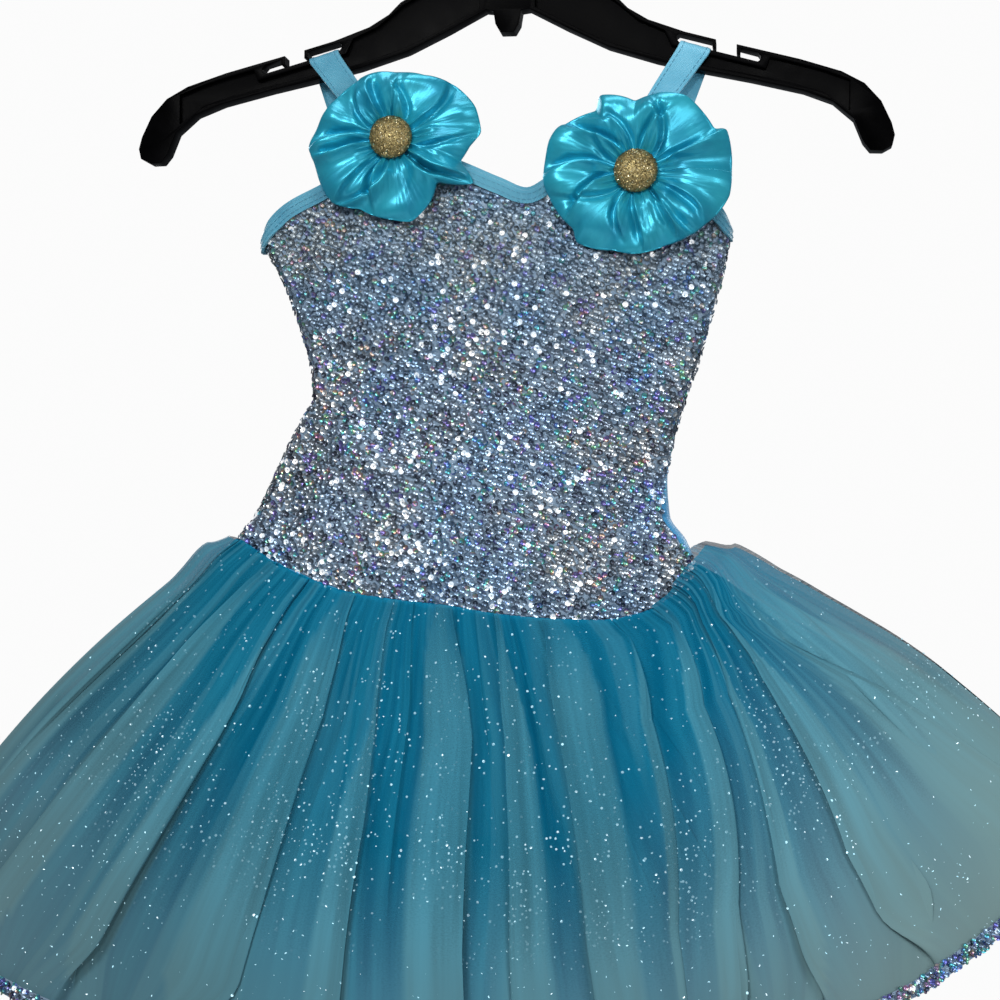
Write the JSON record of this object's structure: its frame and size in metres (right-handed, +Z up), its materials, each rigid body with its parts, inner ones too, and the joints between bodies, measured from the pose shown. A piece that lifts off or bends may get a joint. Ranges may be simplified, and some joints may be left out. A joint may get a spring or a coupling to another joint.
{
  "type": "dance leotard with tutu on a clothes hanger",
  "caption": "Child's sleeveless dance leotard with a sequinned front, two satin rosettes and a gathered glitter net skirt, its straps looped over a plastic clothes hanger.",
  "frame": {"origin": "where a rail touches the top of the inside of the hanger's hook", "axes": "+Z is up, the garment's front faces -Y, and +X is on the right of someone who faces the front"},
  "size_m": [0.61, 0.2175, 0.627],
  "materials": {
    "sequin_cloth": "silver cup sequins on pale blue cloth",
    "stretch_cloth": "smooth blue stretch knit",
    "stretch_binding": "light blue stretch knit with two stitch lines",
    "satin": "turquoise satin",
    "glitter_button": "gold glitter",
    "glitter_net": "teal net with glitter dots",
    "sequin_trim": "silver sequin trim",
    "hanger_plastic": "black glossy moulding"
  },
  "bodies": {
    "root": {"hanger": "hanger_plastic", "bodice_front": "sequin_cloth", "bodice_back": "stretch_cloth", "binding_neck": "stretch_binding", "binding_arm_left": "stretch_binding", "binding_arm_right": "stretch_binding", "binding_back": "stretch_binding", "strap_left": "stretch_binding", "strap_right": "stretch_binding", "flower_left": "satin", "flower_right": "satin", "button_left": "glitter_button", "button_right": "glitter_button", "brief_front": "stretch_cloth", "brief_back": "stretch_cloth", "skirt_outer_front": "glitter_net", "skirt_outer_back": "glitter_net", "skirt_inner_front": "glitter_net", "skirt_inner_back": "glitter_net", "hem_trim_front": "sequin_trim", "hem_trim_back": "sequin_trim"}
  },
  "joints": []
}
